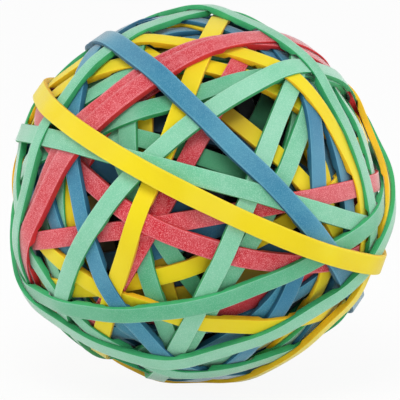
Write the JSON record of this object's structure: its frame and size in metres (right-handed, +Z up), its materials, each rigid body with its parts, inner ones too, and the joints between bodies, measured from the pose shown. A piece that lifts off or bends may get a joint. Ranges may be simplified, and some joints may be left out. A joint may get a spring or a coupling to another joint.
{
  "type": "rubber band ball",
  "caption": "Ball of coloured flat rubber bands, each stretched round the ball over the ones wound before it.",
  "frame": {"origin": "the ball's centre", "axes": "+Z up as pictured, -Y towards the picture's viewpoint, +X to its right"},
  "size_m": [0.0764, 0.0751, 0.0755],
  "materials": {
    "green_rubber": "matte, lightly powdered natural rubber",
    "yellow_rubber": "matte, lightly powdered natural rubber",
    "red_rubber": "matte, lightly powdered natural rubber",
    "blue_rubber": "matte, lightly powdered natural rubber",
    "inner_rubber": "matte rubber, in shade under the outer bands"
  },
  "bodies": {
    "root": {"band_01_red": "red_rubber", "band_02_blue": "blue_rubber", "band_03_blue": "blue_rubber", "band_04_yellow": "yellow_rubber", "band_05_yellow": "yellow_rubber", "band_06_blue": "blue_rubber", "band_07_green": "green_rubber", "band_08_blue": "blue_rubber", "band_09_green": "green_rubber", "band_10_red": "red_rubber", "band_11_blue": "blue_rubber", "band_12_green": "green_rubber", "band_13_red": "red_rubber", "band_14_yellow": "yellow_rubber", "band_15_red": "red_rubber", "band_16_green": "green_rubber", "band_17_yellow": "yellow_rubber", "band_18_green": "green_rubber", "band_19_blue": "blue_rubber", "band_20_blue": "blue_rubber", "band_21_green": "green_rubber", "band_22_blue": "blue_rubber", "band_23_blue": "blue_rubber", "band_24_blue": "blue_rubber", "band_25_blue": "blue_rubber", "band_26_green": "green_rubber", "band_27_yellow": "yellow_rubber", "band_28_yellow": "yellow_rubber", "band_29_green": "green_rubber", "band_30_yellow": "yellow_rubber", "band_31_green": "green_rubber", "band_32_green": "green_rubber", "band_33_yellow": "yellow_rubber", "band_34_green": "green_rubber", "band_35_red": "red_rubber", "band_36_green": "green_rubber", "band_37_blue": "blue_rubber", "band_38_blue": "blue_rubber", "band_39_green": "green_rubber", "band_40_yellow": "yellow_rubber", "band_41_red": "red_rubber", "band_42_red": "red_rubber", "band_43_green": "green_rubber", "band_44_yellow": "yellow_rubber", "band_45_yellow": "yellow_rubber", "band_46_blue": "blue_rubber", "band_47_green": "green_rubber", "band_48_red": "red_rubber", "band_49_red": "red_rubber", "band_50_green": "green_rubber", "band_51_green": "green_rubber", "band_52_green": "green_rubber", "band_53_green": "green_rubber", "band_54_green": "green_rubber", "band_55_blue": "blue_rubber", "band_56_yellow": "yellow_rubber", "band_57_green": "green_rubber", "band_58_yellow": "yellow_rubber", "inner_winding": "inner_rubber"}
  },
  "joints": []
}
